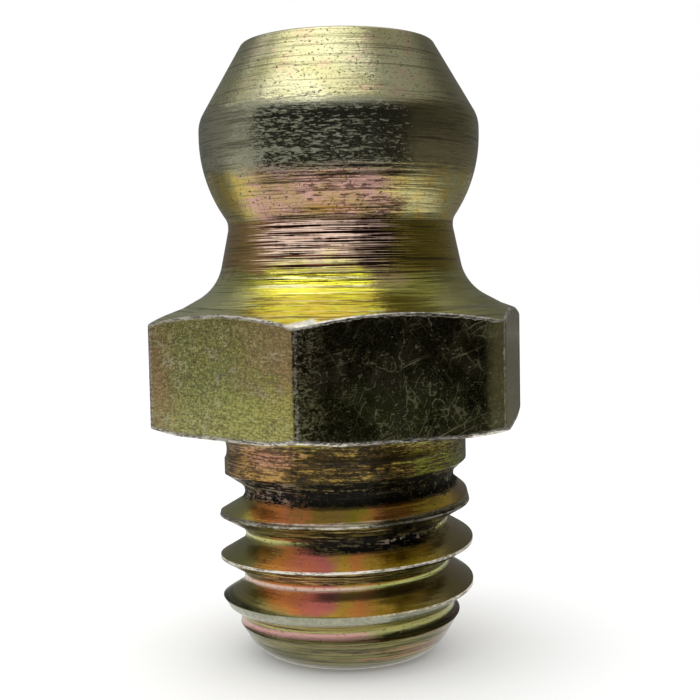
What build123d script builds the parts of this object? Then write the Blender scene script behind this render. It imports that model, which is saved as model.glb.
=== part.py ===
from build123d import *

import math
import os

# Straight grease nipple with a conical coupler head and an M6 x 1 thread.
# Millimetres. The origin is on the axis, in the plane of the hexagon's underside, and +Z points
# to the head. Outlines are drawn in the XZ plane as (radius, height) and turned about Z.

# ---- driving dimensions: hexagon ----
HEX_ACROSS_FLATS = 8.0
HEX_CORNER_RADIUS = 0.25
HEX_TURN = 18.0  # degrees from +X to a corner
HEX_HEIGHT = 2.66  # at the middle of a flat
HEX_TOP_CHAMFER = 20.0  # degrees up from the seat plane
HEX_SEAT_CHAMFER = 15.0  # degrees up from the seat plane
SEAT_DIAMETER = 8.45

# ---- driving dimensions: head and neck ----
HEAD_DIAMETER = 6.5
HEAD_TOP = 8.8  # from the seat to the top face
HEAD_CONE = 30.0  # half angle of the cone
HEAD_BAND = 0.146  # straight band at full diameter
HEAD_SHOULDER_FILLET = 0.8  # between the band and the cone
HEAD_EDGE_CHAMFER = 0.08
NECK_DIAMETER = 5.25
NECK_TOP = 4.736  # from the seat to the rounded underside
NECK_LENGTH = 0.19  # straight, below the rounded underside
NECK_TAPER = 11.7  # degrees from the axis, from there down to the flare
NECK_FILLET = 0.35
FLARE_RADIUS = 1.1
SKIRT_ANGLE = 28.8  # degrees up from the seat plane, below the flare
SKIRT_DIAMETER = 7.45  # where the skirt ends on the hexagon's top chamfer

# ---- driving dimensions: threaded shank ----
THREAD_MAJOR = 5.97
THREAD_MINOR = 4.78
THREAD_PITCH = 1.0
THREAD_HALF_ANGLE = 30.0
SHANK_LENGTH = 5.4
COLLAR_DIAMETER = 5.7
COLLAR_CHAMFER = 0.22  # in the corner between the collar and the seat
COLLAR_END = 1.55  # plain collar, below the seat
COLLAR_TAPER = 0.55  # length over which it grows to the thread's major diameter
POINT_LENGTH = 1.48  # chamfered point
POINT_ANGLE = 31.0  # half angle of the point
POINT_EDGE_CHAMFER = 0.4
GROOVE_HEIGHT = -1.40  # groove centre at the front
GROOVE_LEAD_TURNS = 0.88  # from the groove's first trace on the collar down to the front
GROOVE_RUNOUT_TURNS = 0.98  # turns over which the groove deepens from its first trace
GROOVE_MOUTH_SPREAD = 0.22  # how much wider its upper side is cut where it starts
GROOVE_MOUTH_TURNS = 0.7  # turns, from the front on, over which it comes to its own width
GROOVE_TAIL_TURNS = 1.6  # turns over which its floor rises towards the tip
GROOVE_TAIL_RISE = 0.16
GROOVE_END = 0.6  # groove centre at its last trace, above the tip
GROOVE_FLOOR_WIDTH = 0.23
GROOVE_OVERCUT = 0.06  # how far the cutter stands out of the thread
SECTIONS_PER_TURN = 16

# ---- driving dimensions: passage, ball and spring ----
BALL_DIAMETER = 2.38
BALL_RECESS = 0.06  # top of the ball, below the top face
SEAT_HALF_ANGLE = 45.0
SEAT_CLEARANCE = 0.01
INLET_DIAMETER = 1.5
INLET_CHAMFER = 0.12
BORE_DIAMETER = 2.8
LIP_DIAMETER = 1.8
LIP_LENGTH = 0.3
SPRING_DIAMETER = 2.3  # outside
SPRING_WIRE = 0.28
SPRING_WIRE_SIDES = 8
SPRING_PITCH = 1.9
SPRING_CLEARANCE = 0.02

# ---- places worked out from them ----
hex_corner_reach = HEX_ACROSS_FLATS / 2 / math.cos(math.radians(30))
head_radius = HEAD_DIAMETER / 2
neck_radius = NECK_DIAMETER / 2
skirt_radius = SKIRT_DIAMETER / 2
major_radius = THREAD_MAJOR / 2
minor_radius = THREAD_MINOR / 2
collar_radius = COLLAR_DIAMETER / 2
seat_radius = SEAT_DIAMETER / 2

ball_radius = BALL_DIAMETER / 2
ball_height = HEAD_TOP - BALL_RECESS - ball_radius

bore_radius = BORE_DIAMETER / 2
inlet_radius = INLET_DIAMETER / 2
tip_height = -SHANK_LENGTH
groove_turns = GROOVE_LEAD_TURNS + (GROOVE_HEIGHT - (tip_height + GROOVE_END)) / THREAD_PITCH


def at_point(sketch, radius, height):
    """The sketch's corner nearest to a radius and a height."""
    return sketch.vertices().sort_by_distance((radius, height, 0))[0]


def turned_blank():
    """The outside as the lathe leaves it, before the hexagon and the thread."""
    point_radius = major_radius - POINT_LENGTH * math.tan(math.radians(POINT_ANGLE))
    stock_radius = hex_corner_reach + HEX_CORNER_RADIUS
    chamfer_slope = math.tan(math.radians(HEX_TOP_CHAMFER))
    seat_slope = math.tan(math.radians(HEX_SEAT_CHAMFER))

    # The neck widens to a conical skirt, which runs on into the hexagon's top chamfer. The
    # flare rounds the corner where the neck's taper and the skirt would meet.
    taper = math.tan(math.radians(NECK_TAPER))
    skirt_slope = math.tan(math.radians(SKIRT_ANGLE))
    skirt_foot = HEX_HEIGHT + (HEX_ACROSS_FLATS / 2 - skirt_radius) * chamfer_slope
    taper_top = NECK_TOP - NECK_LENGTH
    skirt_rise = (skirt_radius - neck_radius) * skirt_slope
    taper_length = (taper_top - skirt_foot - skirt_rise) / (1 - taper * skirt_slope)
    flare_radius = neck_radius + taper_length * taper
    flare_height = taper_top - taper_length
    stock_height = HEX_HEIGHT - (stock_radius - HEX_ACROSS_FLATS / 2) * chamfer_slope

    # The head's underside is a ball of the head's own radius, cut off by the neck. The band
    # above it runs to the shoulder fillet, and the cone from there to the top face.
    band_foot = NECK_TOP + math.sqrt(head_radius**2 - neck_radius**2)
    fillet_reach = HEAD_SHOULDER_FILLET * math.tan(math.radians(HEAD_CONE / 2))
    shoulder_height = band_foot + HEAD_BAND + fillet_reach
    top_radius = head_radius - (HEAD_TOP - shoulder_height) * math.tan(math.radians(HEAD_CONE))

    shank = Polyline(
        (0, HEAD_TOP),
        (0, tip_height),
        (point_radius, tip_height),
        (major_radius, tip_height + POINT_LENGTH),
        (major_radius, -COLLAR_END - COLLAR_TAPER),
        (collar_radius, -COLLAR_END),
        (collar_radius, 0),
        (seat_radius, 0),
        (stock_radius, (stock_radius - seat_radius) * seat_slope),
        (stock_radius, stock_height),
        (skirt_radius, skirt_foot),
        (flare_radius, flare_height),
        (neck_radius, taper_top),
        (neck_radius, NECK_TOP),
    )
    underside = RadiusArc((neck_radius, NECK_TOP), (head_radius, band_foot), -head_radius)
    head = Polyline(
        (head_radius, band_foot),
        (head_radius, shoulder_height),
        (top_radius, HEAD_TOP),
        (0, HEAD_TOP),
    )
    outline = make_face(shank + underside + head)
    for radius, height, length in (
        (point_radius, tip_height, POINT_EDGE_CHAMFER),
        (collar_radius, 0, COLLAR_CHAMFER),
        (top_radius, HEAD_TOP, HEAD_EDGE_CHAMFER),
    ):
        outline = chamfer(at_point(outline, radius, height), length)
    for radius, height, bend in (
        (flare_radius, flare_height, FLARE_RADIUS),
        (neck_radius, NECK_TOP, NECK_FILLET),
        (head_radius, shoulder_height, HEAD_SHOULDER_FILLET),
    ):
        outline = fillet(at_point(outline, radius, height), bend)
    return revolve(Plane.XZ * outline, Axis.Z)


def hexagon_bar():
    """The hexagon bar that the piece is turned from, with its rounded corners."""
    section = RegularPolygon(HEX_ACROSS_FLATS / 2, 6, major_radius=False, rotation=HEX_TURN)
    section = fillet(section.vertices(), HEX_CORNER_RADIUS)
    return Pos(0, 0, tip_height) * extrude(section, SHANK_LENGTH + HEAD_TOP)


def groove_floor(turn):
    """Radius of the thread groove's floor, counted in turns down from its first trace."""
    if turn < GROOVE_RUNOUT_TURNS:
        return collar_radius + (minor_radius - collar_radius) * turn / GROOVE_RUNOUT_TURNS
    tail = max(0, turn - (groove_turns - GROOVE_TAIL_TURNS)) / GROOVE_TAIL_TURNS
    return minor_radius + GROOVE_TAIL_RISE * tail


def groove_section(turn):
    """The groove's outline in the plane through the axis that it has reached after some turns."""
    angle = math.radians(-90 - 360 * (turn - GROOVE_LEAD_TURNS))
    across = (math.cos(angle), math.sin(angle), 0)
    normal = (math.sin(angle), -math.cos(angle), 0)
    height = GROOVE_HEIGHT + (GROOVE_LEAD_TURNS - turn) * THREAD_PITCH
    plane = Plane((0, 0, height), x_dir=across, z_dir=normal)
    floor = groove_floor(turn)
    outer = major_radius + GROOVE_OVERCUT
    low = GROOVE_FLOOR_WIDTH / 2
    high = low + (outer - floor) * math.tan(math.radians(THREAD_HALF_ANGLE))
    since_front = min(1, max(0, (turn - GROOVE_LEAD_TURNS) / GROOVE_MOUTH_TURNS))
    spread = 1 + GROOVE_MOUTH_SPREAD * (1 - since_front)
    corners = Polyline(
        (floor, -low),
        (outer, -high),
        (outer, high * spread),
        (floor, low * spread),
        close=True,
    )
    return plane * make_face(corners)


def thread_groove():
    """The helical groove, as lengths of one turn or less, each lofted through its sections."""
    lengths = []
    start = 0
    while start < groove_turns:
        end = min(start + 1, groove_turns)
        steps = math.ceil((end - start) * SECTIONS_PER_TURN)
        turns = [start + (end - start) * step / steps for step in range(steps + 1)]
        lengths.append(loft([groove_section(turn) for turn in turns]))
        start = end
    return lengths


def passage():
    """The way for the grease: inlet, ball seat, bore and the rolled-in lip at the tip."""
    contact = ball_height + ball_radius * math.sin(math.radians(SEAT_HALF_ANGLE))
    contact_radius = ball_radius * math.cos(math.radians(SEAT_HALF_ANGLE))
    rise = 1 / math.tan(math.radians(SEAT_HALF_ANGLE))
    seat_gap = SEAT_CLEARANCE / math.sin(math.radians(SEAT_HALF_ANGLE))
    seat_top = contact + seat_gap + (contact_radius - inlet_radius) * rise
    seat_foot = contact + seat_gap + (contact_radius - bore_radius) * rise
    lip_radius = LIP_DIAMETER / 2
    outline = make_face(
        Polyline(
            (0, tip_height),
            (lip_radius, tip_height),
            (lip_radius, tip_height + LIP_LENGTH / 2),
            (bore_radius, tip_height + LIP_LENGTH),
            (bore_radius, seat_foot),
            (inlet_radius, seat_top),
            (inlet_radius, HEAD_TOP - INLET_CHAMFER),
            (inlet_radius + INLET_CHAMFER, HEAD_TOP),
            (0, HEAD_TOP),
            close=True,
        )
    )
    return revolve(Plane.XZ * outline, Axis.Z)


def body():
    """Head, neck, hexagon and threaded shank, in one piece."""
    piece = turned_blank() & hexagon_bar()
    for length in thread_groove():
        piece -= length
    return piece - passage()


def check_ball():
    """The ball that closes the inlet."""
    return Pos(0, 0, ball_height) * Sphere(ball_radius)


def spring():
    """The compression spring between the lip and the ball, with ground ends."""
    wire_radius = SPRING_WIRE / 2
    coil_radius = SPRING_DIAMETER / 2 - wire_radius
    foot = tip_height + LIP_LENGTH + SPRING_CLEARANCE
    ball_reach = ball_radius + SPRING_CLEARANCE
    top = ball_height - math.sqrt(ball_reach**2 - (coil_radius - wire_radius) ** 2)
    turns = (top - foot) / SPRING_PITCH
    steps = round(turns * SECTIONS_PER_TURN)
    sections = []
    for step in range(steps + 1):
        angle = 2 * math.pi * turns * step / steps
        plane = Plane(
            (0, 0, foot + (top - foot) * step / steps),
            x_dir=(math.cos(angle), math.sin(angle), 0),
            z_dir=(-math.sin(angle), math.cos(angle), 0),
        )
        sections.append(plane * Pos(coil_radius, 0) * RegularPolygon(wire_radius, SPRING_WIRE_SIDES))
    wire = loft(sections, ruled=True)
    room = Pos(0, 0, foot) * Cylinder(bore_radius, top - foot, align=(Align.CENTER, Align.CENTER, Align.MIN))
    return wire & room


os.makedirs("parts", exist_ok=True)
for name, make in (("body", body), ("check_ball", check_ball), ("spring", spring)):
    export_step(make(), f"parts/{name}.step")
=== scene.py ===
import math

import bmesh
import bpy
from mathutils import Matrix, Vector


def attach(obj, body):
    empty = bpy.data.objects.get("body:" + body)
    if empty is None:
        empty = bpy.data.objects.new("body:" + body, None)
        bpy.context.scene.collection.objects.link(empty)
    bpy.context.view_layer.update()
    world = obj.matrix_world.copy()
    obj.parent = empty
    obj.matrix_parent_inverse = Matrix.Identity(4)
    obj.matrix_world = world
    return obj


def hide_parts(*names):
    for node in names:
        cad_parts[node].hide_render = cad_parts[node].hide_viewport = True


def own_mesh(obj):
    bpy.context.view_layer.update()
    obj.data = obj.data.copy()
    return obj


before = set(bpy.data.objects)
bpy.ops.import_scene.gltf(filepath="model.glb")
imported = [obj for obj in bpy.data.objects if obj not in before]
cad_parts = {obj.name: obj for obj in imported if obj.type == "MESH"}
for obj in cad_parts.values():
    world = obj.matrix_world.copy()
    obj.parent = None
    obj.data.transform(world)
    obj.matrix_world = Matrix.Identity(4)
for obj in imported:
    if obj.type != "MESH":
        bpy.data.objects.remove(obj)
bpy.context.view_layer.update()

# Straight grease nipple: one turned and milled body, its check ball and its spring.
# Meshes are drawn in millimetres and brought to metres when they are finished.

MM = 0.001
WELD = 0.0002  # points nearer than this, in millimetres, are one point
SHARP = 32  # degrees; an edge that turns more than this is drawn sharp

# ---- sizes, in millimetres, heights from the hexagon's underside ----
COLUMNS = 240  # round the axis
HEX_FLAT = 4.0
HEX_ROUND = 0.25
HEX_TURN = 18.0  # degrees from +X to a corner
HEX_TOP = 2.66
HEX_SLOPE = math.tan(math.radians(20))
SEAT_RADIUS = 4.225
SEAT_SLOPE = math.tan(math.radians(15))
STOCK_RADIUS = 4.869
EDGE_WEAR = 0.045  # how far the hexagon's edges are worn round
CORE_RADIUS = 3.2  # inside this, nothing is milled

HEAD_RADIUS = 3.25
HEAD_TOP = 8.8
RIM_RADIUS = 2.149  # where the head's flat top ends
RIM_ROUND = 0.12
CONE_FOOT = (3.1428, 7.1982)
BAND_ROUND = 0.8
BAND_FOOT = 6.6522
BAND_TOP = 6.7982
HEAD_UNDER = 34.27  # degrees that the head turns in before the neck
NECK_RADIUS = 2.625
NECK_TOP = 4.625
NECK_ROUND = 0.35
NECK_START = 4.546  # below its rounding
NECK_FOOT = (2.7982, 3.7096)
FILLET_CENTRE = (3.8753, 3.9327)
FILLET_SWEEP = 49.5  # degrees
SKIRT_TOP = (3.725, 2.7601)

TIP = -5.4
COLLAR_RADIUS = 2.85
COLLAR_ROUND = 0.22  # under the hexagon
COLLAR_FOOT = -1.55
BLANK_TOP = -2.1  # the thread's blank, below the collar
BLANK_FOOT = -3.92
POINT_FOOT = (2.3435, -4.9878)
POINT_CENTRE = (1.615, -4.55)
POINT_SWEEP = 59  # degrees
BORE_RADIUS = 1.4
LIP_RADIUS = 0.9
LIP_FOOT = -5.25
LIP_TOP = -5.1
INLET_RADIUS = 0.75
INLET_FOOT = 8.4971
INLET_ROUND = 0.12
BALL_SEAT = 7.8471
THREAD_RADIUS = 2.985
THREAD_FLOOR = 2.39
PITCH = 1.0
GROOVE_HEIGHT = -1.4  # at the front, after one turn
GROOVE_START = 0.12  # turns, at its first trace on the collar
GROOVE_END = 4.4
GROOVE_FLOOR = 0.23
GROOVE_STEPS = 96  # in one turn
RUN_IN = 1.1  # turns until the groove is at its full depth
RUN_OUT = 1.6  # turns over which it rises at the tip
RUN_OUT_RISE = 0.16
FIRST_WIDTH = 0.22  # how much wider the groove opens upwards in its first turn
THREAD_LEAN = 0.08  # how far out of square the thread is cut, at its edge
THREAD_SLOPE = math.tan(math.radians(30))

BALL_RADIUS = 1.19
BALL_HEIGHT = 7.55
SPRING_FOOT = -5.08
SPRING_TOP = 6.709
SPRING_COIL = 1.01
SPRING_WIRE = 0.14
SPRING_PITCH = 1.9

TENT_RADIUS = 150  # of the shell that reflections see
DISC_RADIUS = 140  # of the floor that they see


class Outline:
    """A run of edges in the XZ plane, drawn from one point on to the next."""

    def __init__(self, radius, height):
        self.mesh = bmesh.new()
        self.tip = self.mesh.verts.new((radius, 0, height))

    def line(self, radius, height, steps=1):
        """Draws straight on to a radius and a height, in so many edges."""
        start, end = self.tip.co.copy(), Vector((radius, 0, height))
        for step in range(1, steps + 1):
            made = bmesh.ops.extrude_vert_indiv(self.mesh, verts=[self.tip])
            self.tip = made["verts"][0]
            self.tip.co = start.lerp(end, step / steps)

    def arc(self, radius, height, degrees, steps):
        """Draws on round a centre, clockwise as seen from the front."""
        made = bmesh.ops.spin(
            self.mesh,
            geom=[self.tip],
            cent=(radius, 0, height),
            axis=(0, 1, 0),
            angle=math.radians(degrees),
            steps=steps,
        )
        self.tip = made["geom_last"][0]


def turned_outline():
    """The body's section, round the outside from the inlet to the tip and back up the bore.

    The last number of a line or arc is how many edges it is drawn with.
    """
    cut = Outline(INLET_RADIUS + INLET_ROUND, HEAD_TOP)
    cut.line(RIM_RADIUS, HEAD_TOP, 10)
    cut.arc(RIM_RADIUS, HEAD_TOP - RIM_ROUND, 60, 5)
    cut.line(*CONE_FOOT, 16)
    cut.arc(HEAD_RADIUS - BAND_ROUND, BAND_TOP, 30, 6)
    cut.line(HEAD_RADIUS, BAND_FOOT, 2)
    cut.arc(0, BAND_FOOT, HEAD_UNDER, 18)
    cut.arc(NECK_RADIUS + NECK_ROUND, NECK_TOP, -HEAD_UNDER, 6)
    cut.line(NECK_RADIUS, NECK_START)
    cut.line(*NECK_FOOT, 10)
    cut.arc(*FILLET_CENTRE, -FILLET_SWEEP, 20)
    cut.line(*SKIRT_TOP, 6)
    cut.line(STOCK_RADIUS, HEX_TOP - (STOCK_RADIUS - HEX_FLAT) * HEX_SLOPE, 46)
    cut.line(STOCK_RADIUS, (STOCK_RADIUS - SEAT_RADIUS) * SEAT_SLOPE, 12)
    cut.line(SEAT_RADIUS, 0, 24)
    cut.line(COLLAR_RADIUS + COLLAR_ROUND, 0, 6)
    cut.arc(COLLAR_RADIUS + COLLAR_ROUND, -COLLAR_ROUND, -90, 6)
    cut.line(COLLAR_RADIUS, COLLAR_FOOT, 8)
    cut.line(THREAD_RADIUS, BLANK_TOP, 4)
    cut.line(THREAD_RADIUS, BLANK_FOOT, 10)
    cut.line(*POINT_FOOT, 8)
    cut.arc(*POINT_CENTRE, POINT_SWEEP, 14)
    cut.line(LIP_RADIUS, TIP, 6)
    cut.line(LIP_RADIUS, LIP_FOOT, 1)
    cut.line(BORE_RADIUS, LIP_TOP, 3)
    cut.line(BORE_RADIUS, BALL_SEAT, 12)
    cut.line(INLET_RADIUS, INLET_FOOT, 4)
    cut.line(INLET_RADIUS, HEAD_TOP - INLET_ROUND)
    cut.line(INLET_RADIUS + INLET_ROUND, HEAD_TOP, 2)
    return cut.mesh


def hexagon_reach(angle):
    """Radius of the rounded hexagon at an angle from its nearest corner."""
    centre = (HEX_FLAT - HEX_ROUND) / math.cos(math.radians(30))
    rounded = math.radians(1.575)
    if abs(angle) < rounded:
        return centre * math.cos(angle) + math.sqrt(HEX_ROUND**2 - (centre * math.sin(angle)) ** 2)
    return HEX_FLAT / math.cos(math.radians(30) - abs(angle))


def mill(mesh):
    """Crowds the columns at the hexagon's corners, and mills its flats with worn edges."""
    sixth = math.radians(60)
    crowding = 1.4
    margin = 0.08  # how far above the hexagon's top a point is still milled
    reach = 0.3  # how far inside the flats the wear no longer draws the surface in
    for vert in mesh.verts:
        radius = math.hypot(vert.co.x, vert.co.y)
        angle = math.atan2(vert.co.y, vert.co.x)
        corner = round(angle / sixth) * sixth
        off = angle - corner
        off = math.copysign(sixth / 2 * (2 * abs(off) / sixth) ** crowding, off)
        if -0.001 < vert.co.z < HEX_TOP + margin and radius > CORE_RADIUS:
            over = radius - hexagon_reach(off)
            radius -= (over + math.sqrt(over**2 + EDGE_WEAR**2)) / 2
            radius += (math.sqrt(reach**2 + EDGE_WEAR**2) - reach) / 2
        turn = corner + off + math.radians(HEX_TURN)
        vert.co.x, vert.co.y = radius * math.cos(turn), radius * math.sin(turn)


def groove_depth(turn):
    """How far the thread's floor stands out from its full depth, after some turns."""
    if turn < RUN_IN:
        return (COLLAR_RADIUS - THREAD_FLOOR) * (RUN_IN - turn) / (RUN_IN - GROOVE_START)
    return RUN_OUT_RISE * max(0, turn - GROOVE_END + RUN_OUT) / RUN_OUT


def groove_section():
    """Half the groove, from its rounded root up its wall to the rubbed shoulder."""
    root = GROOVE_FLOOR / 2 / THREAD_SLOPE
    bends = (math.radians(15), math.radians(30), math.radians(45), math.radians(60))
    side = [(root * (1 - math.cos(bend)), root * math.sin(bend)) for bend in bends]
    reach = THREAD_RADIUS - THREAD_FLOOR
    half = GROOVE_FLOOR / 2 + (reach - 0.02) * THREAD_SLOPE
    shoulder = [(reach - 0.02, half), (reach - 0.004, half + 0.014), (reach + 0.06, half + 0.035)]
    return side + shoulder


def groove_cutter():
    """The swept cutter of the thread, which eases in over its first turn and out at the tip."""
    mesh = bmesh.new()
    side = groove_section()
    section = [(depth, -z) for depth, z in reversed(side)] + [(0, 0)] + side
    ring = [mesh.verts.new((THREAD_FLOOR + depth, 0, z)) for depth, z in section]
    face = mesh.faces.new(ring)
    turns = GROOVE_END - GROOVE_START
    bmesh.ops.spin(
        mesh,
        geom=[*ring, *face.edges, face],
        cent=(0, 0, 0),
        axis=(0, 0, 1),
        angle=-math.tau * turns,
        steps=round(turns * GROOVE_STEPS),
    )
    mesh.verts.ensure_lookup_table()
    reach = section[0][0]
    for index, vert in enumerate(mesh.verts):
        turn = GROOVE_START + index // len(section) / GROOVE_STEPS
        depth, across = section[index % len(section)]
        if across > 0:  # wide in the first turn, and plain from turn 1.7
            across *= 1 + FIRST_WIDTH * min(1, max(0, (1.7 - turn) / 0.7))
        radius = THREAD_FLOOR + depth + groove_depth(turn) * (1 - depth / reach)
        angle = -math.pi / 2 - math.tau * (turn - 1)
        vert.co = (
            radius * math.cos(angle),
            radius * math.sin(angle),
            GROOVE_HEIGHT + (1 - turn) * PITCH + across - THREAD_LEAN * math.cos(angle),
        )
    bmesh.ops.recalc_face_normals(mesh, faces=mesh.faces[:])
    return mesh


def piece(name, mesh, body, node, finish):
    """Brings a mesh drawn in millimetres to metres, and puts it in the place of its CAD node."""
    mesh.transform(Matrix.Scale(MM, 4))
    mesh.shade_smooth()
    mesh.set_sharp_from_angle(angle=math.radians(SHARP))
    mesh.materials.clear()
    mesh.materials.append(finish)
    made = bpy.data.objects.new(name, mesh)
    bpy.context.scene.collection.objects.link(made)
    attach(made, body)
    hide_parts(node)
    return made


def as_mesh(name, built):
    """Gives what was built as a mesh of its own."""
    mesh = bpy.data.meshes.new(name)
    built.to_mesh(mesh)
    built.free()
    return mesh


def full_turn(mesh, columns):
    """Turns a section about Z, closes the seam and points the faces outwards."""
    geometry = [*mesh.verts, *mesh.edges]
    bmesh.ops.spin(
        mesh,
        geom=geometry,
        cent=(0, 0, 0),
        axis=(0, 0, 1),
        angle=math.tau,
        steps=columns,
        use_merge=True,
    )
    bmesh.ops.remove_doubles(mesh, verts=mesh.verts[:], dist=WELD)
    bmesh.ops.recalc_face_normals(mesh, faces=mesh.faces[:])


def body_mesh():
    """The turned and milled blank with its thread cut."""
    blank = turned_outline()
    bmesh.ops.remove_doubles(blank, verts=blank.verts[:], dist=WELD)
    full_turn(blank, COLUMNS)
    mill(blank)
    cutter = groove_cutter()
    whole = bpy.data.objects.new("blank", as_mesh("blank", blank))
    tool = bpy.data.objects.new("tool", as_mesh("tool", cutter))
    for thing in (whole, tool):
        bpy.context.scene.collection.objects.link(thing)
    cut = whole.modifiers.new("thread", "BOOLEAN")
    cut.operation, cut.solver, cut.object = "DIFFERENCE", "EXACT", tool
    bpy.context.view_layer.update()
    made = bpy.data.meshes.new_from_object(whole.evaluated_get(bpy.context.evaluated_depsgraph_get()))
    bpy.data.objects.remove(whole)
    bpy.data.objects.remove(tool)
    return made


def ball_mesh():
    """A fine round ball, at its place under the seat."""
    mesh = bmesh.new()
    bmesh.ops.create_icosphere(mesh, subdivisions=5, radius=BALL_RADIUS)
    bmesh.ops.translate(mesh, verts=mesh.verts[:], vec=(0, 0, BALL_HEIGHT))
    return as_mesh("check_ball", mesh)


def spring_mesh():
    """Round wire wound round the axis, with its two ends ground flat."""
    mesh = bmesh.new()
    turn = Matrix.Translation((SPRING_COIL, 0, SPRING_FOOT)) @ Matrix.Rotation(math.radians(90), 4, "X")
    bmesh.ops.create_circle(mesh, cap_ends=True, segments=14, radius=SPRING_WIRE, matrix=turn)
    turns = (SPRING_TOP - SPRING_FOOT) / SPRING_PITCH
    steps = round(turns * 40)
    bmesh.ops.spin(
        mesh,
        geom=[*mesh.verts, *mesh.edges, *mesh.faces],
        cent=(0, 0, 0),
        axis=(0, 0, 1),
        dvec=(0, 0, (SPRING_TOP - SPRING_FOOT) / steps),
        angle=math.tau * turns,
        steps=steps,
    )
    for height, side in ((SPRING_FOOT, -1), (SPRING_TOP, 1)):
        whole = [*mesh.verts, *mesh.edges, *mesh.faces]
        ground = bmesh.ops.bisect_plane(
            mesh, geom=whole, plane_co=(0, 0, height), plane_no=(0, 0, side), clear_outer=True
        )
        loop = [part for part in ground["geom_cut"] if isinstance(part, bmesh.types.BMEdge)]
        bmesh.ops.holes_fill(mesh, edges=loop)
    bmesh.ops.recalc_face_normals(mesh, faces=mesh.faces[:])
    return as_mesh("spring", mesh)


class Value:
    """A socket of a node tree, to which Python's operators add Math nodes."""

    def __init__(self, paint, socket):
        self.paint, self.socket = paint, socket

    def math(self, operation, *values):
        return self.paint.add("ShaderNodeMath", {"operation": operation}, dict(enumerate(values)))

    def __add__(self, other):
        return self.math("ADD", self, other)

    def __sub__(self, other):
        return self.math("SUBTRACT", self, other)

    def __rsub__(self, other):
        return self.math("SUBTRACT", other, self)

    def __mul__(self, other):
        return self.math("MULTIPLY", self, other)

    def __truediv__(self, other):
        return self.math("DIVIDE", self, other)

    def __pow__(self, other):
        return self.math("POWER", self, other)

    def __abs__(self):
        return self.math("ABSOLUTE", self)

    def __neg__(self):
        return self.math("MULTIPLY", self, -1)

    __radd__ = __add__

    def least(self, other):
        return self.math("MINIMUM", self, other)

    def most(self, other):
        return self.math("MAXIMUM", self, other)

    def rise(self, low, high):
        """0 below low and 1 above high, or the other way round where low is the larger."""
        return self.paint.add(
            "ShaderNodeMapRange",
            {"interpolation_type": "SMOOTHSTEP"},
            {"Value": self, "From Min": low, "From Max": high},
        )

    def within(self, low, high, soft):
        """1 between low and high, and 0 beyond them, with soft edges."""
        return self.rise(low - soft, low + soft) * self.rise(high + soft, high - soft)


class Paint:
    """One procedural finish, whose places are millimetres on the piece."""

    def __init__(self, name):
        self.material = bpy.data.materials.new(name)
        self.material.use_nodes = True
        self.tree = self.material.node_tree
        self.tree.nodes.clear()
        place = self.add("ShaderNodeTexCoord", {}, {}, "Object")
        place = {0: place, "Scale": 1 / MM}
        self.place = self.add("ShaderNodeVectorMath", {"operation": "SCALE"}, place)
        axes = [self.add("ShaderNodeSeparateXYZ", {}, {0: self.place}, axis) for axis in "XYZ"]
        self.x, self.y, self.z = axes
        self.radius = (self.x * self.x + self.y * self.y) ** 0.5
        self.azimuth = self.y.math("ARCTAN2", self.y, self.x)

    def add(self, kind, settings, values, output=0):
        """Adds a node, sets it, links or fills its inputs and gives one output as a Value."""
        node = self.tree.nodes.new(kind)
        for key, setting in settings.items():
            if key == "stops":
                ramp = node.color_ramp
                while len(ramp.elements) < len(setting):
                    ramp.elements.new(0.5)
                for element, (place, colour) in zip(ramp.elements, setting):
                    element.position, element.color = place, (*colour, 1)
            else:
                setattr(node, key, setting)
        for key, value in values.items():
            if isinstance(value, Value):
                self.tree.links.new(value.socket, node.inputs[key])
            else:
                node.inputs[key].default_value = value
        return None if output is None else Value(self, node.outputs[output])

    def scaled(self, around, along):
        """The place, stretched so that a pattern runs round the axis."""
        return self.add(
            "ShaderNodeVectorMath",
            {"operation": "MULTIPLY"},
            {0: self.place, 1: (around, around, along)},
        )

    def noise(self, around, along, detail, roughness, offset):
        """Noise about 0.5, with so many features in a millimetre round the axis and along it."""
        place = self.add(
            "ShaderNodeVectorMath",
            {"operation": "ADD"},
            {0: self.scaled(around, along), 1: (offset, offset * 1.7, offset * 0.6)},
        )
        return self.add(
            "ShaderNodeTexNoise",
            {},
            {"Vector": place, "Scale": 1.0, "Detail": detail, "Roughness": roughness},
        )

    def strokes(self, along, up, degrees, length, width, offset):
        """Short straight scratches in one direction on a flat face."""
        turn = math.radians(degrees)
        course = (along * math.cos(turn) + up * math.sin(turn)) / length
        across = (up * math.cos(turn) - along * math.sin(turn)) / width
        place = self.add("ShaderNodeCombineXYZ", {}, {"X": course, "Y": across, "Z": offset})
        pattern = self.add("ShaderNodeTexNoise", {}, {"Vector": place, "Scale": 1.0, "Detail": 1.0})
        return pattern.rise(0.63, 0.72)

    def flat(self, side):
        """How far out a place lies towards one of the hexagon's six sides."""
        angle = math.radians(HEX_TURN + 30 + 60 * side)
        return self.x * math.cos(angle) + self.y * math.sin(angle)

    def mix(self, share, first, second):
        """The first colour, with a share of the second over it."""
        first, second = (c if isinstance(c, Value) else (*c, 1) for c in (first, second))
        return self.add("ShaderNodeMix", {"data_type": "RGBA"}, {0: share, 6: first, 7: second}, 2)

    def ramp(self, value, *stops):
        """Colours that follow a value, from stops of a place and a colour."""
        return self.add("ShaderNodeValToRGB", {"stops": stops}, {0: value})

    def metal(self, colour, roughness, metallic, height):
        """A metal whose surface stands out by a height in millimetres."""
        normal = self.add("ShaderNodeBump", {}, {"Strength": 1.0, "Distance": MM, "Height": height})
        shader = self.add(
            "ShaderNodeBsdfPrincipled",
            {},
            {"Base Color": colour, "Roughness": roughness, "Metallic": metallic, "Normal": normal},
        )
        return self.show(shader)

    def show(self, shader):
        self.add("ShaderNodeOutputMaterial", {}, {"Surface": shader}, None)
        return self.material


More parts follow.
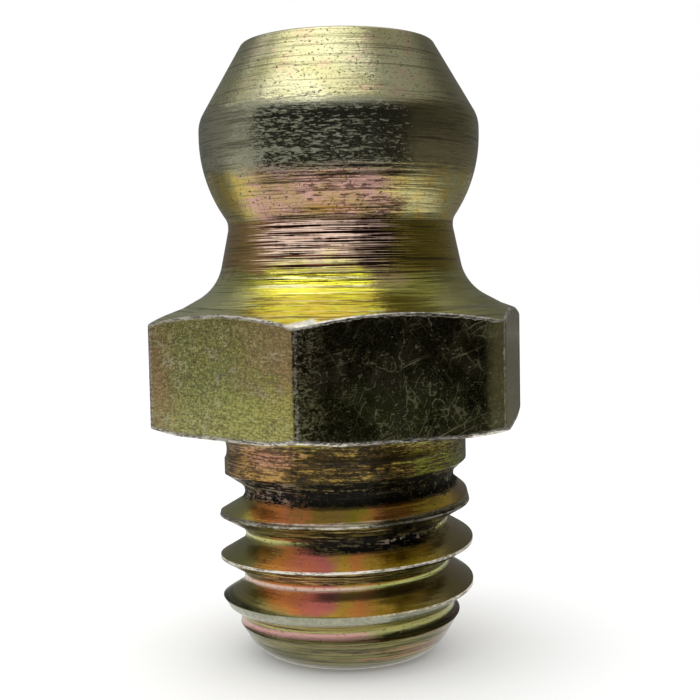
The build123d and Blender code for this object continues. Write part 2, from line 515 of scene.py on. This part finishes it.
class Plating(Paint):
    """Zinc plating under a yellow film: gold, pink and green by place, worn grey at its edges."""

    def __init__(self):
        super().__init__("plated_steel")
        self.front = self.y.rise(0.2, -0.4)
        self.cloud = self.noise(0.7, 0.9, 2, 0.5, 9.0)
        self.film = self.noise(0.42, 0.7, 2, 0.5, 4.0) - 0.5
        self.blotch = self.noise(2.2, 2.6, 3, 0.6, 6.0)
        self.grain = self.noise(7.0, 7.0, 3, 0.6, 7.0)
        self.sand = self.noise(17.0, 17.0, 3, 0.65, 2.0)
        self.crinkle = self.noise(8.0, 22.0, 3, 0.65, 12.0)
        self.fine_crinkle = self.noise(11.0, 32.0, 3, 0.7, 17.0)
        self.lines = self.noise(0.3, 10.0, 3, 0.65, 1.0)
        self.fine_lines = self.noise(0.4, 26.0, 3, 0.6, 5.0)
        self.turning = self.noise(0.22, 19.0, 2, 0.5, 13.0)
        self.streaks = self.noise(3.0, 15.0, 3, 0.6, 8.0)
        self.scuffs = self.noise(1.6, 26.0, 3, 0.65, 19.0)
        self.crust = self.noise(7.0, 34.0, 3, 0.7, 23.0)
        self.blot = self.blotch - 0.5
        self.grit = self.grain - 0.5
        self.waver = self.lines - 0.5
        self.dashes = self.fine_lines + self.scuffs
        self.feathered = self.x + self.waver * 1.6 + self.grit * 0.5
        self.place_hexagon()
        self.place_thread()
        self.place_neck()

    def place_neck(self):
        """Masks for the neck, and for the pale lines painted on its front as glints of the lamp on its
        turning lines.
        """
        feathered, z = self.feathered, self.z
        self.neck = z.rise(4.8, 4.65) * z.rise(3.2, 3.5)
        self.neck_front = feathered.within(-1.9, 1.2, 0.4) * self.front
        ridge = abs(self.noise(0.22, 19.0, 3, 0.5, 29.0) - 0.5) + self.grit * 0.06
        lit = self.neck_front * z.rise(3.4, 3.7) * z.rise(4.75, 4.6)
        sparse = 1 - feathered.within(0.3, 1.3, 0.2) * 0.45
        # Painted highlight: pale glint lines on the front of the neck.
        self.painted_glint_lines = ridge.rise(0.056, 0.038) * lit * sparse

    def place_hexagon(self):
        """Masks for the hexagon's six sides and their worn edges."""
        x, y, z, radius = self.x, self.y, self.z, self.radius
        across = [abs(self.flat(side)) for side in (0, 1, 2)]
        nearest = across[0].most(across[1]).most(across[2])
        least = across[0].least(across[1]).least(across[2])
        self.second = across[0] + across[1] + across[2] - nearest - least
        ragged = (self.sand - 0.5) * 0.10 + self.grit * 0.10
        brink = HEX_TOP - (radius - HEX_FLAT) * HEX_SLOPE - z
        sole = z - (radius - SEAT_RADIUS).most(0.0) * SEAT_SLOPE
        self.flats = nearest.rise(3.93, 3.965) * brink.rise(-0.02, 0.02) * sole.rise(-0.02, 0.02)
        self.along = x * math.cos(math.radians(HEX_TURN)) + y * math.sin(math.radians(HEX_TURN))
        # The face towards the camera, painted dark as a painted reflection of the dark front.
        self.painted_dark_face = self.flat(4).rise(3.9, 3.96) * self.flats
        corner = self.second + ragged * 0.6 + x.rise(-3.5, -4.3) * 0.08
        corner = corner.rise(3.94, 3.965) * self.flats * 0.55
        rim = (brink + ragged).within(-0.05, 0.05, 0.02) * nearest.rise(3.92, 3.96)
        foot = (sole + ragged).within(-0.04, 0.08, 0.02) * nearest.rise(3.86, 3.94)
        knock = (self.along + ragged * 2.0).within(-2.45, -1.80, 0.06)
        knock = knock * (self.flat(4) + ragged).rise(3.70, 3.78)
        self.knock = knock * (brink + ragged).within(-0.06, 0.06, 0.03)
        self.worn = corner.most(rim).most(foot).most(self.knock)

    def place_thread(self):
        """Masks for the thread, by height from the middle of the groove in pitches."""
        z, radius = self.z, self.radius
        ragged = (self.sand - 0.5) * 0.012 + self.grit * 0.012
        drop = z - GROOVE_HEIGHT + self.x / radius * THREAD_LEAN
        drop = drop - (self.azimuth + math.pi / 2) / math.tau * PITCH
        self.phase = z.math("WRAP", drop, 0.5, -0.5)
        self.shank = z.rise(0.0, -0.03)
        self.point = z.rise(-3.8, -3.9)
        self.collar = z.within(-1.5, 0.0, 0.02) * radius.rise(2.79, 2.82)
        off_wall = abs(self.phase) - GROOVE_FLOOR / 2 - (radius - THREAD_FLOOR) * THREAD_SLOPE
        first_crest = drop.within(-0.9, -0.2, 0.05)
        frayed = ragged + (self.streaks - 0.5) * 0.06 * first_crest * radius.rise(2.86, 2.94)
        self.crest = (off_wall + frayed).rise(0.004, 0.02) * self.shank * drop.rise(0.0, -0.1)
        self.above = self.phase.within(0.10, 0.5, 0.03) * self.shank
        land = (off_wall + ragged).rise(0.045, 0.075) * z.rise(-3.4, -3.2)
        self.land = self.crest * land.most(first_crest * self.phase.rise(0.42, 0.38) * 0.85)
        self.root = abs(self.phase).rise(0.08, 0.03) * self.shank * (1 - self.collar)
        self.first_flank = drop.within(-0.44, -0.10, 0.03) * self.shank * (1 - self.collar)
        self.first_groove = drop.within(-0.17, 0.42, 0.13) * z.rise(-0.7, -0.9) * (1 - self.collar)
        self.second_groove = drop.within(-1.25, -0.72, 0.06) * self.shank
        self.inner = self.phase.within(-0.24, -0.05, 0.07) * self.shank * (1 - self.point)

    def head_colour(self):
        """Pale gold on the cone, paler to the left and darker to the right as painted light and shade,
        dusky on the band, gold and pink below.
        """
        x, z, blotch = self.x, self.z, self.blotch
        colour = self.mix(self.cloud.rise(0.35, 0.65), (0.55, 0.52, 0.26), (0.65, 0.63, 0.38))
        colour = self.mix((blotch + self.grit * 0.4).rise(0.52, 0.70) * 0.5, colour, (0.72, 0.46, 0.34))
        # Darker towards the right and paler towards the left: painted light and shade.
        colour = self.mix(x.rise(1.0, 2.4) * 0.5, colour, (0.42, 0.38, 0.16))
        colour = self.mix(x.rise(-1.6, -2.8) * 0.6, colour, (0.92, 0.92, 0.54))
        crinkled = (self.fine_crinkle + self.sand).rise(0.96, 0.80)
        colour = self.mix(crinkled * 0.5, colour, (0.24, 0.22, 0.10))
        colour = self.mix(self.turning.rise(0.40, 0.34) * 0.6, colour, (0.20, 0.18, 0.08))
        dusky = self.mix(x.rise(0.6, 1.8), (0.56, 0.55, 0.38), (0.50, 0.43, 0.21))
        colour = self.mix(z.rise(7.25, 7.05), colour, dusky)
        gold = self.mix(blotch.rise(0.4, 0.6), (0.78, 0.60, 0.16), (0.62, 0.54, 0.23))
        yellow = self.mix(blotch.rise(0.35, 0.6), (0.95, 0.72, 0.22), (0.84, 0.76, 0.34))
        gold = self.mix(x.rise(0.8, 1.6), gold, yellow)
        mauve = self.mix(blotch.rise(0.4, 0.6), (0.74, 0.44, 0.36), (0.62, 0.42, 0.22))
        lower = self.mix(self.feathered.within(-2.0, 1.1, 0.3), gold, mauve)
        dark = (self.streaks + self.waver).rise(0.50, 0.38) * self.feathered.within(-0.9, 1.3, 0.3)
        lower = self.mix(dark * 0.85, lower, (0.12, 0.06, 0.04))
        return self.mix((z + (self.streaks - 0.5) * 0.5).rise(5.95, 5.55), colour, lower)

    def neck_colour(self):
        """Pale lines on maroon where it faces the front, a painted highlight of the lamp's glints on
        its turning lines, and brown at the sides.
        """
        height = (self.z + self.blot).rise(4.1, 3.6)
        pale = self.mix(height, (1.0, 0.73, 0.58), (1.0, 0.88, 0.36))
        deep = self.mix(self.feathered.rise(0.1, 0.6), (0.26, 0.10, 0.06), (0.10, 0.035, 0.03))
        front = self.mix(self.painted_glint_lines, deep, pale)
        sides = self.mix(self.x.rise(-0.5, 0.5), (0.54, 0.36, 0.13), (0.50, 0.38, 0.06))
        fine = self.turning + (self.fine_lines - 0.5) * 0.5
        sides = self.mix(fine.rise(0.44, 0.34) * 0.5, sides, (0.14, 0.10, 0.03))
        return self.mix(self.neck_front, sides, front)

    def flare_colour(self):
        """Yellow towards the front, brighter than the film at the sides as a painted highlight of the
        lamp, with pale lines as painted glints; olive to both sides, paler at the far left as painted
        light.
        """
        # Painted highlight: the bright yellow of the front, and its pale lines as painted glints.
        yellow = self.mix(self.blotch.rise(0.35, 0.65), (1.0, 0.94, 0.07), (0.94, 0.80, 0.09))
        yellow = self.mix(self.turning.rise(0.56, 0.62) * 0.7, yellow, (1.0, 0.98, 0.60))
        orange = self.z.rise(3.1, 2.9) * self.blotch.rise(0.42, 0.6)
        yellow = self.mix(orange * 0.5, yellow, (0.95, 0.66, 0.05))
        yellow = self.mix(self.dashes.rise(0.99, 0.86) * 0.8, yellow, (0.30, 0.24, 0.02))
        olive = self.mix(self.cloud.rise(0.4, 0.6), (0.50, 0.475, 0.10), (0.64, 0.60, 0.18))
        # Paler at the far left: painted light.
        olive = self.mix(self.x.rise(-1.9, -3.0), olive, (0.98, 1.0, 0.50))
        olive = self.mix(self.fine_lines.rise(0.46, 0.36) * 0.4, olive, (0.22, 0.22, 0.06))
        colour = self.mix(self.feathered.within(-1.9, 0.8, 0.3) * self.front, olive, yellow)
        rosy = self.feathered.within(0.75, 1.5, 0.2) * self.front * self.z.rise(3.1, 3.4)
        return self.mix(rosy * 0.7, colour, (0.66, 0.48, 0.24))

    def face_colour(self):
        """The hexagon's sides: olive and brown, with a sandy grain; lighter towards the bottom as a
        painted reflection of the floor, darker towards the top, darker on the right as painted shade,
        and near black on the face towards the camera as a painted reflection.
        """
        drift = self.blot * 1.6 + (self.cloud - 0.5) * 1.2
        x, z = self.x + drift, self.z + drift
        colour = self.mix(self.cloud.rise(0.4, 0.62), (0.44, 0.40, 0.11), (0.37, 0.41, 0.13))
        edge = (self.second + self.blot * 1.4).rise(2.9, 3.7)
        colour = self.mix(edge * 0.85, colour, (0.50, 0.29, 0.13))
        colour = self.mix(self.blotch.rise(0.55, 0.7) * 0.5, colour, (0.56, 0.48, 0.18))
        # Lighter towards the bottom: a painted reflection of the floor.
        colour = self.mix(self.z.rise(1.3, 0.2) * 0.7, colour, (0.74, 0.70, 0.24))
        colour = self.mix(self.z.rise(1.7, 2.4) * 0.5, colour, (0.28, 0.24, 0.07))
        pale = (self.grain + self.blot * 0.6).rise(0.52, 0.64)
        colour = self.mix(pale * 0.4, colour, (0.68, 0.62, 0.26))
        streaked = (self.streaks + self.grit * 0.5).rise(0.47, 0.38)
        colour = self.mix(streaked * 0.5, colour, (0.20, 0.16, 0.06))
        colour = self.mix(self.sand.rise(0.52, 0.64) * 0.5, colour, (0.78, 0.75, 0.40))
        colour = self.mix(self.sand.rise(0.46, 0.34) * 0.7, colour, (0.11, 0.11, 0.045))
        brown_left = x.rise(-3.5, -4.1) * z.rise(2.0, 1.0)
        brown_right = x.rise(-2.6, -1.8) * z.rise(0.9, 1.6)
        colour = self.mix(brown_left.most(brown_right) * 0.45, colour, (0.56, 0.37, 0.17))
        lime = x.rise(-3.0, -2.0) * z.within(0.2, 1.3, 0.3)
        colour = self.mix(lime * 0.5, colour, (0.70, 0.68, 0.16))
        haze = (self.blotch + (self.crinkle - 0.5) * 0.8).rise(0.60, 0.70)
        colour = self.mix(haze * 0.35, colour, (0.62, 0.62, 0.48))
        hollow = (self.crinkle - 0.5 + (self.sand - 0.5) * 0.5).rise(0.03, -0.09)
        colour = self.mix(hollow * 0.4, colour, (0.16, 0.15, 0.05))
        # Darker on the right-hand faces: painted shade.
        colour = self.mix(x.rise(1.8, 3.5) * 0.8, colour, (0.34, 0.31, 0.08))
        # Painted reflection: the face towards the camera painted near black, for the dark front that it
        # mirrors.
        return self.mix(self.painted_dark_face * 0.8, colour, (0.06, 0.06, 0.035))

    def flank_colour(self):
        """The thread: orange and green upper flanks, lower ones dark brown as painted shade, roots
        paler as a painted highlight, rubbed crests, and painted shade on the first flank and near the
        upper roots.
        """
        x, film = self.x, self.film
        flank = self.ramp(
            (x + film * 3.5 + self.blot * 0.7) / 6 + 0.5,
            (0.08, (0.43, 0.42, 0.15)),
            (0.18, (0.44, 0.36, 0.10)),
            (0.27, (0.78, 0.28, 0.07)),
            (0.38, (0.78, 0.22, 0.16)),
            (0.46, (0.70, 0.20, 0.20)),
            (0.53, (0.60, 0.40, 0.06)),
            (0.60, (0.74, 0.26, 0.08)),
            (0.69, (0.50, 0.32, 0.05)),
            (0.80, (0.40, 0.31, 0.09)),
            (0.92, (0.35, 0.28, 0.12)),
        )
        # Painted shade: the first flank, under the collar, darker in the film's olive and red.
        first, across = self.first_flank * 0.8, x + film * 2 + self.blot * 1.2
        flank = self.mix(first * across.within(-1.0, 0.4, 0.3), flank, (0.24, 0.225, 0.02))
        flank = self.mix(first * across.within(0.5, 1.5, 0.2), flank, (0.44, 0.19, 0.055))
        flank = self.mix(first * across.rise(1.5, 2.0), flank, (0.28, 0.18, 0.07))
        # The lower flanks face down: painted dark brown as shade, with pale and black lines.
        lower = self.mix(self.fine_lines.rise(0.52, 0.60), (0.24, 0.19, 0.035), (0.90, 0.70, 0.29))
        dark = (self.scuffs + self.waver * 0.6).rise(0.54, 0.46)
        flank = self.mix(self.above, flank, self.mix(dark, lower, (0.03, 0.02, 0.008)))
        # Paler along the roots: a painted highlight, pink to the left and green to the right.
        root = self.mix((x + film * 3).rise(-0.2, 1.0), (0.78, 0.53, 0.42), (0.46, 0.48, 0.16))
        root = self.mix(self.second_groove, root, (0.60, 0.58, 0.20))
        flank = self.mix(self.root, flank, root)
        # Painted shade near the roots of the upper grooves.
        groove_shade = self.z.rise(-3.0, -2.9) * (x + self.waver * 2).within(-1.2, 1.9, 0.5)
        groove_shade = groove_shade * abs(self.phase).rise(0.17, 0.10)
        flank = self.mix(groove_shade * 0.9, flank, (0.05, 0.04, 0.015))
        crest = self.mix(x.rise(-0.4, 0.9), (0.74, 0.66, 0.50), (0.36, 0.31, 0.13))
        cut = (self.fine_lines + self.grit * 0.6 - x * 0.012).rise(0.43, 0.52)
        return self.mix(self.land, flank, self.mix(cut, (0.03, 0.025, 0.01), crest))

    def collar_colour(self):
        """Brown with pink and green, under a dark crinkle that is densest at the front."""
        feathered, z = self.feathered, self.z
        colour = self.mix(feathered.rise(-1.5, -0.9), (0.66, 0.40, 0.12), (0.46, 0.31, 0.07))
        pink = feathered.within(-2.1, -1.2, 0.3) * z.rise(-0.9, -0.5)
        colour = self.mix(pink, colour, (0.72, 0.36, 0.25))
        colour = self.mix(feathered.rise(1.0, 1.6), colour, (0.40, 0.34, 0.07))
        upper = (z + self.waver * 0.5).rise(-0.35, -0.15)
        colour = self.mix(upper * 0.7, colour, (0.52, 0.50, 0.18))
        green = feathered.rise(1.2, 1.6) * (z + self.blot * 0.4).within(-1.0, -0.45, 0.1)
        colour = self.mix(green * 0.8, colour, (0.26, 0.30, 0.04))
        crinkled = self.scuffs * 0.6 + self.crinkle * 0.4 + self.blot * 0.25
        crinkled = (crinkled - self.x.within(-1.2, 1.4, 0.5) * 0.06).rise(0.45, 0.54)
        deep = self.mix(feathered.within(-1.2, 1.4, 0.3), (0.13, 0.07, 0.03), (0.04, 0.02, 0.008))
        return self.mix((1 - crinkled) * 0.9, colour, deep)

    def point_colour(self):
        """The point, with the rosy and yellow ends of the groove and the broad worn band."""
        x, z, film, lines = self.x, self.z, self.film, self.lines
        tip = self.mix(lines.rise(0.4, 0.6), (0.10, 0.10, 0.025), (0.18, 0.14, 0.05))
        tip = self.mix((lines + x * 0.03).rise(0.57, 0.64) * 0.7, tip, (0.30, 0.13, 0.10))
        tip = self.mix((self.fine_lines - 0.5).rise(0.02, 0.08) * 0.6, tip, (0.30, 0.28, 0.11))
        tip = self.mix(self.dashes.rise(0.97, 0.84) * 0.85, tip, (0.03, 0.025, 0.01))
        tip = self.mix(z.rise(-5.0, -5.3) * 0.5, tip, (0.06, 0.055, 0.02))
        wall = z.rise(-4.8, -4.7)
        rosy = self.mix((x + film * 2).rise(0.0, 0.9), (0.62, 0.35, 0.30), (0.36, 0.36, 0.13))
        tip = self.mix(self.phase.within(-0.09, 0.06, 0.03) * wall, tip, rosy)
        yellow = self.mix(self.fine_lines.rise(0.48, 0.40), (0.42, 0.39, 0.12), (0.08, 0.06, 0.015))
        tip = self.mix(self.phase.within(0.06, 0.26, 0.03) * wall, tip, yellow)
        band = self.phase.within(0.26, 0.52, 0.03).most(self.phase.rise(-0.46, -0.48))
        grey = self.mix(self.grain.rise(0.3, 0.7), (0.27, 0.28, 0.19), (0.40, 0.39, 0.28))
        return self.mix(band * z.rise(-4.4, -4.25), tip, grey)

    def soot_and_shade(self):
        """Black crust in the first two grooves, with its flecks, and painted shade along the roots on
        the flanks under them: a share and a colour.
        """
        x, first, second = self.x, self.first_groove, self.second_groove
        broken = (self.crust - 0.5) * 0.9 + self.blot * 0.5
        share = (first * (1 - x.rise(-0.9, -1.8) * 0.4) + broken).rise(0.30, 0.62)
        share = share * first.rise(0.02, 0.2) * self.radius.rise(2.95, 2.90)
        share = share * (1 - (self.sand + self.grit * 0.6).rise(0.56, 0.66) * 0.75)
        packed = second * (x + broken * 3).within(-0.8, 1.9, 0.25)
        share = share.most(packed * abs(self.phase + 0.02).rise(0.22, 0.15))
        # Painted shade: dark along the roots, on the upper flanks just under them.
        root_shadow = self.inner * self.feathered.within(-1.0, 2.0, 0.6)
        share = share.most((root_shadow + broken * 0.8).rise(0.2, 0.9) * root_shadow * 0.8)
        grime = self.feathered.within(-1.4, 1.5, 0.3) * self.collar
        share = share.most(grime * (self.streaks + self.grit).rise(0.50, 0.62) * 0.7)
        lumps = self.scuffs + self.grit * 0.8
        flecks = lumps.rise(0.54, 0.62) * (second + self.phase.rise(-0.1, 0.25)).least(1)
        colour = self.mix(flecks * 0.8, (0.008, 0.007, 0.004), (0.20, 0.155, 0.06))
        ash = lumps.rise(0.53, 0.60) * first * x.rise(-0.9, -1.7)
        spots = lumps.rise(0.54, 0.58) * second * x.within(0.8, 1.7, 0.2)
        spots = spots * self.phase.within(-0.10, 0.02, 0.03)
        return share, self.mix(ash.most(spots), colour, (0.62, 0.52, 0.40))

    def scratches(self):
        """Faint scratches, smudges and specks on the face that mirrors the dark front."""
        curl = (self.noise(1.3, 1.3, 2, 0.5, 21.0) - 0.5) * 0.35
        along, up = self.along + curl, self.z + curl
        marks = self.strokes(along, up, 20, 1.6, 0.05, 3.0)
        marks = marks.most(self.strokes(along, up, -48, 0.9, 0.045, 9.0) * 0.8)
        marks = marks.most(self.strokes(along, up, 66, 0.8, 0.045, 15.0) * 0.8)
        smudge = (self.cloud + self.blot * 0.6).rise(0.42, 0.62)
        marks = marks * (0.25 + smudge * 0.75) * 0.4
        specks = (self.sand + self.grit * 0.6).rise(0.60, 0.78) * (0.3 + smudge * 0.7) * 0.4
        curls = abs(self.noise(1.2, 1.2, 2, 0.5, 33.0) - 0.5).rise(0.014, 0.002)
        curls = curls.most(abs(self.noise(2.6, 2.6, 2, 0.5, 37.0) - 0.5).rise(0.016, 0.002) * 0.8)
        broken = (self.scuffs * 0.6 + self.grain * 0.4 + smudge * 0.1).rise(0.50, 0.62)
        marks = marks.most(curls * broken * 0.36)
        edge = (self.along + self.blot * 0.5).rise(-1.65, -2.1)
        edge = edge * (self.fine_crinkle * 0.5 + self.sand * 0.5 + self.grit * 0.3).rise(0.46, 0.60)
        return marks.most(specks).most(edge * 0.42).most(smudge * 0.05) * self.painted_dark_face

    def relief(self, soot_and_shade, pits):
        """How far the surface stands out: machining lines, grain, crust and pits."""
        z, turned = self.z, 1 - self.flats
        skirt = z.rise(3.6, 3.3) * z.rise(2.5, 2.7)
        depth = 0.006 + skirt * 0.04 + z.within(4.7, 5.9, 0.1) * 0.012 + self.shank * 0.006
        height = self.lines * depth * turned + self.turning * self.neck * 0.03
        height = height + self.fine_lines * (0.003 + self.neck * 0.006) * turned
        height = height + self.sand * (0.003 + self.flats * 0.004)
        height = height + self.grain * (0.004 + soot_and_shade * 0.05 + self.worn * 0.02)
        height = height + self.crinkle * (self.collar * 0.02) - pits * 0.012
        return height + (self.fine_crinkle + self.crinkle) * (self.flats - self.painted_dark_face) * 0.02

    def finish(self):
        """The zones' colours, then pits, bare metal, soot with painted shade, and dust over them."""
        z, sand, feathered = self.z, self.sand, self.feathered
        below_head = (z + self.waver * 0.3).rise(4.72, 4.6)
        low_neck = (z + self.waver * 0.7 + self.blot * 0.5).rise(3.65, 3.4)
        colour = self.mix(below_head, self.head_colour(), self.neck_colour())
        colour = self.mix(low_neck, colour, self.flare_colour())
        colour = self.mix(self.flats, colour, self.face_colour())
        shank = self.mix(self.collar, self.flank_colour(), self.collar_colour())
        shank = self.mix(self.point, shank, self.point_colour())
        colour = self.mix(self.shank, colour, shank)

        turned = 1 - self.flats
        pits = sand.rise(0.40, 0.33) * self.grain.rise(0.42, 0.56)
        pits = pits * (z.rise(7.1, 7.3) + self.shank * 0.8 + z.within(4.7, 6.2, 0.2) * 0.8)
        colour = self.mix(pits, colour, (0.12, 0.10, 0.05))
        scored = self.fine_lines.rise(0.42, 0.30) * turned * (1 - self.shank * 0.6)
        scored = scored.most(self.lines.rise(0.36, 0.30) * z.within(4.7, 8.7, 0.1))
        colour = self.mix(scored * 0.6, colour, (0.13, 0.11, 0.06))

        bare = self.worn.most(self.crest * (1 - self.point) * (1 - self.land))
        rubbed = (self.streaks + (self.fine_crinkle - 0.5) * 0.8).rise(0.34, 0.58)
        metal = self.mix(rubbed, (0.26, 0.23, 0.16), (0.95, 0.90, 0.79))
        colour = self.mix(bare, colour, self.mix(self.knock * 0.6, metal, (0.84, 0.82, 0.70)))
        soot_and_shade, crust = self.soot_and_shade()
        colour = self.mix(soot_and_shade, colour, crust)

        patch = z.within(5.65, 7.35, 0.15) * feathered.within(-2.1, 1.5, 0.3) * self.front
        band = z.within(5.65, 7.45, 0.15) * (1 - patch)
        colour = self.mix(self.dashes.rise(0.98, 0.87) * band * 0.5, colour, (0.15, 0.14, 0.08))
        haze = self.crust * 0.7 + self.streaks * 0.3 + self.waver * 0.25 - self.x * 0.025
        dust = self.scratches().most(patch * haze.rise(0.53, 0.64) * 0.75) * (1 - self.worn)
        colour = self.mix(dust, colour, (0.11, 0.115, 0.085))
        tan = (self.along + self.blot * 0.4).rise(1.75, 2.15) * self.painted_dark_face * (1 - self.worn)
        brown = self.mix(sand.rise(0.5, 0.72), (0.04, 0.034, 0.008), (0.15, 0.12, 0.02))
        colour = self.mix(tan * 0.6, colour, brown)

        roughness = 0.22 + bare * 0.15 + dust * 0.5 + soot_and_shade * 0.4 + tan * 0.2 + (sand - 0.5) * 0.16
        roughness = roughness - self.painted_dark_face * 0.07 - self.neck * 0.06
        sunny = low_neck * z.rise(3.35, 3.15) * feathered.within(-1.7, 0.7, 0.3) * self.front
        metallic = 1 - dust - soot_and_shade * 0.05 - tan * 0.5 - self.knock * 0.3 - sunny * turned * 0.5
        # The painted glint lines are less metallic, so that they show pale under any light.
        metallic = metallic - self.painted_glint_lines * 0.8 - self.first_flank * (1 - soot_and_shade) * 0.1
        return self.metal(colour, roughness, metallic, self.relief(soot_and_shade, pits))


def plain_metal(name, colour, roughness):
    """Bare steel with a fine grain."""
    paint = Paint(name)
    fine = paint.noise(9.0, 9.0, 3, 0.6, 3.0)
    shade = paint.mix(fine, tuple(c * 0.85 for c in colour), colour)
    return paint.metal(shade, roughness + fine * 0.1, 1.0, fine * 0.0008)


piece("body", body_mesh(), "nipple", "body", Plating().finish())
ball = plain_metal("ball_steel", (0.72, 0.72, 0.74), 0.06)
piece("check_ball", ball_mesh(), "ball", "check_ball", ball)
wire = plain_metal("spring_steel", (0.45, 0.45, 0.46), 0.28)
spring = piece("spring", spring_mesh(), "nipple", "spring", wire)
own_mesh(spring)


def staged(name, mesh, finish):
    """A thing of the studio, which isn't part of the object."""
    mesh.materials.append(finish)
    thing = bpy.data.objects.new(name, mesh)
    bpy.context.scene.collection.objects.link(thing)
    return thing


def floor():
    """White paper under the piece."""
    mesh = bmesh.new()
    bmesh.ops.create_grid(mesh, x_segments=1, y_segments=1, size=3.0)
    bmesh.ops.translate(mesh, verts=mesh.verts[:], vec=(0, 0, TIP * MM))
    paint = Paint("paper")
    paper = paint.add(
        "ShaderNodeBsdfPrincipled",
        {},
        {
            "Base Color": (0.9, 0.9, 0.9, 1),
            "Roughness": 0.9,
            "Specular IOR Level": 0.0,
            "Emission Color": (1, 1, 1, 1),
            "Emission Strength": 0.1,
        },
    )
    staged("floor", as_mesh("floor", mesh), paint.show(paper))


def greys(*stops):
    """Stops of a ramp, from pairs of a place and a brightness."""
    return [(place, (level, level, level)) for place, level in stops]


def unseen(thing):
    """Only reflections see it."""
    thing.visible_camera = thing.visible_diffuse = thing.visible_shadow = False
    thing.visible_transmission = thing.visible_volume_scatter = False


def tent():
    """The walls round the set: dark in front, where the camera stands, and grey elsewhere."""
    mesh = bmesh.new()
    bmesh.ops.create_uvsphere(mesh, u_segments=48, v_segments=24, radius=TENT_RADIUS * MM)
    paint = Paint("tent_cloth")
    x, y, z = (place / TENT_RADIUS for place in (paint.x, paint.y, paint.z))
    turn = paint.x.math("ARCTAN2", paint.x, -paint.y) / math.tau + 0.5
    walls = paint.ramp(
        turn,
        *greys((0.0, 0.15), (0.09, 0.15), (0.19, 0.21), (0.27, 0.30), (0.298, 0.28)),
        *greys((0.308, 0.016), (0.648, 0.016), (0.672, 0.06), (0.80, 0.09), (0.92, 0.15)),
    )
    roof = paint.mix(x.rise(-0.3, 0.6), (0.56, 0.56, 0.56), (0.34, 0.34, 0.34))
    behind = y.rise(0.1, 0.4) * x.rise(0.35, 0.15)
    roof = paint.mix(behind, roof, (0.85, 0.85, 0.85))
    colour = paint.mix(z.rise(0.58, 0.76), walls, roof)
    glow = paint.add("ShaderNodeEmission", {}, {"Color": colour, "Strength": 1.0})
    unseen(staged("tent", as_mesh("tent", mesh), paint.show(glow)))


def near_floor():
    """What reflections see of the floor, a glowing disc: bright under the piece, and dark in front of
    it as a painted shadow of the camera.
    """
    mesh = bmesh.new()
    bmesh.ops.create_circle(mesh, cap_ends=True, segments=64, radius=DISC_RADIUS * MM)
    bmesh.ops.translate(mesh, verts=mesh.verts[:], vec=(0, 0, TIP * MM + 0.00001))
    paint = Paint("floor_glow")
    reach = paint.radius / DISC_RADIUS
    turn = paint.azimuth + math.pi / 2
    turn = turn.math("WRAP", turn, math.pi, -math.pi) / math.tau + 0.5
    bright = paint.ramp(
        reach,
        *greys((0.0, 0.90), (0.14, 0.80), (0.30, 0.56), (0.70, 0.32), (1.0, 0.24)),
    )
    dim = paint.ramp(reach, *greys((0.09, 0.80), (0.15, 0.16), (1.0, 0.10)))
    # Painted shadow of the camera on the floor in front of the piece.
    black = paint.ramp(reach, *greys((0.115, 0.90), (0.15, 0.012)))
    colour = paint.mix(turn.rise(0.65, 0.68), black, dim)
    colour = paint.mix(turn.rise(0.31, 0.29), colour, bright)
    colour = paint.mix(turn.rise(0.22, 0.18), colour, dim)
    glow = paint.add("ShaderNodeEmission", {}, {"Color": colour, "Strength": 1.0})
    unseen(staged("near_floor", as_mesh("near_floor", mesh), paint.show(glow)))


def lamp(name, azimuth, elevation, distance, size, power):
    """A square lamp that looks at the piece, at degrees from the front and above the floor."""
    light = bpy.data.lights.new(name, "AREA")
    light.size, light.energy = size, power
    thing = bpy.data.objects.new(name, light)
    turn, lift = math.radians(azimuth - 90), math.radians(elevation)
    level = math.cos(lift)
    out = Vector((math.cos(turn) * level, math.sin(turn) * level, math.sin(lift)))
    thing.location = out * distance + Vector((0, 0, 0.002))
    thing.rotation_euler = out.to_track_quat("Z", "Y").to_euler()
    bpy.context.scene.collection.objects.link(thing)


floor()
tent()
near_floor()
lamp("window", -60, 78, 0.1, 0.085, 0.03)

world = bpy.data.worlds.new("studio")
world.use_nodes = True
sky = world.node_tree.nodes["Background"]
sky.inputs["Color"].default_value = (1, 1, 1, 1)
sky.inputs["Strength"].default_value = 1.0
bpy.context.scene.world = world

# The camera stands low in front of the piece, a little tilted, in metres and degrees.
eye = bpy.data.cameras.new("camera")
eye.lens, eye.sensor_width = 62.06, 36
eye.clip_start, eye.clip_end = 0.002, 20
camera = bpy.data.objects.new("camera", eye)
bpy.context.scene.collection.objects.link(camera)
camera.matrix_world = (
    Matrix.Translation((0, -0.028421, 0.003447))
    @ Matrix.Rotation(math.radians(-0.330), 4, "Z")
    @ Matrix.Rotation(math.radians(90 - 3.526), 4, "X")
    @ Matrix.Rotation(math.radians(-1.137), 4, "Z")
)
bpy.context.scene.camera = camera
bpy.context.scene.view_settings.view_transform = "Standard"
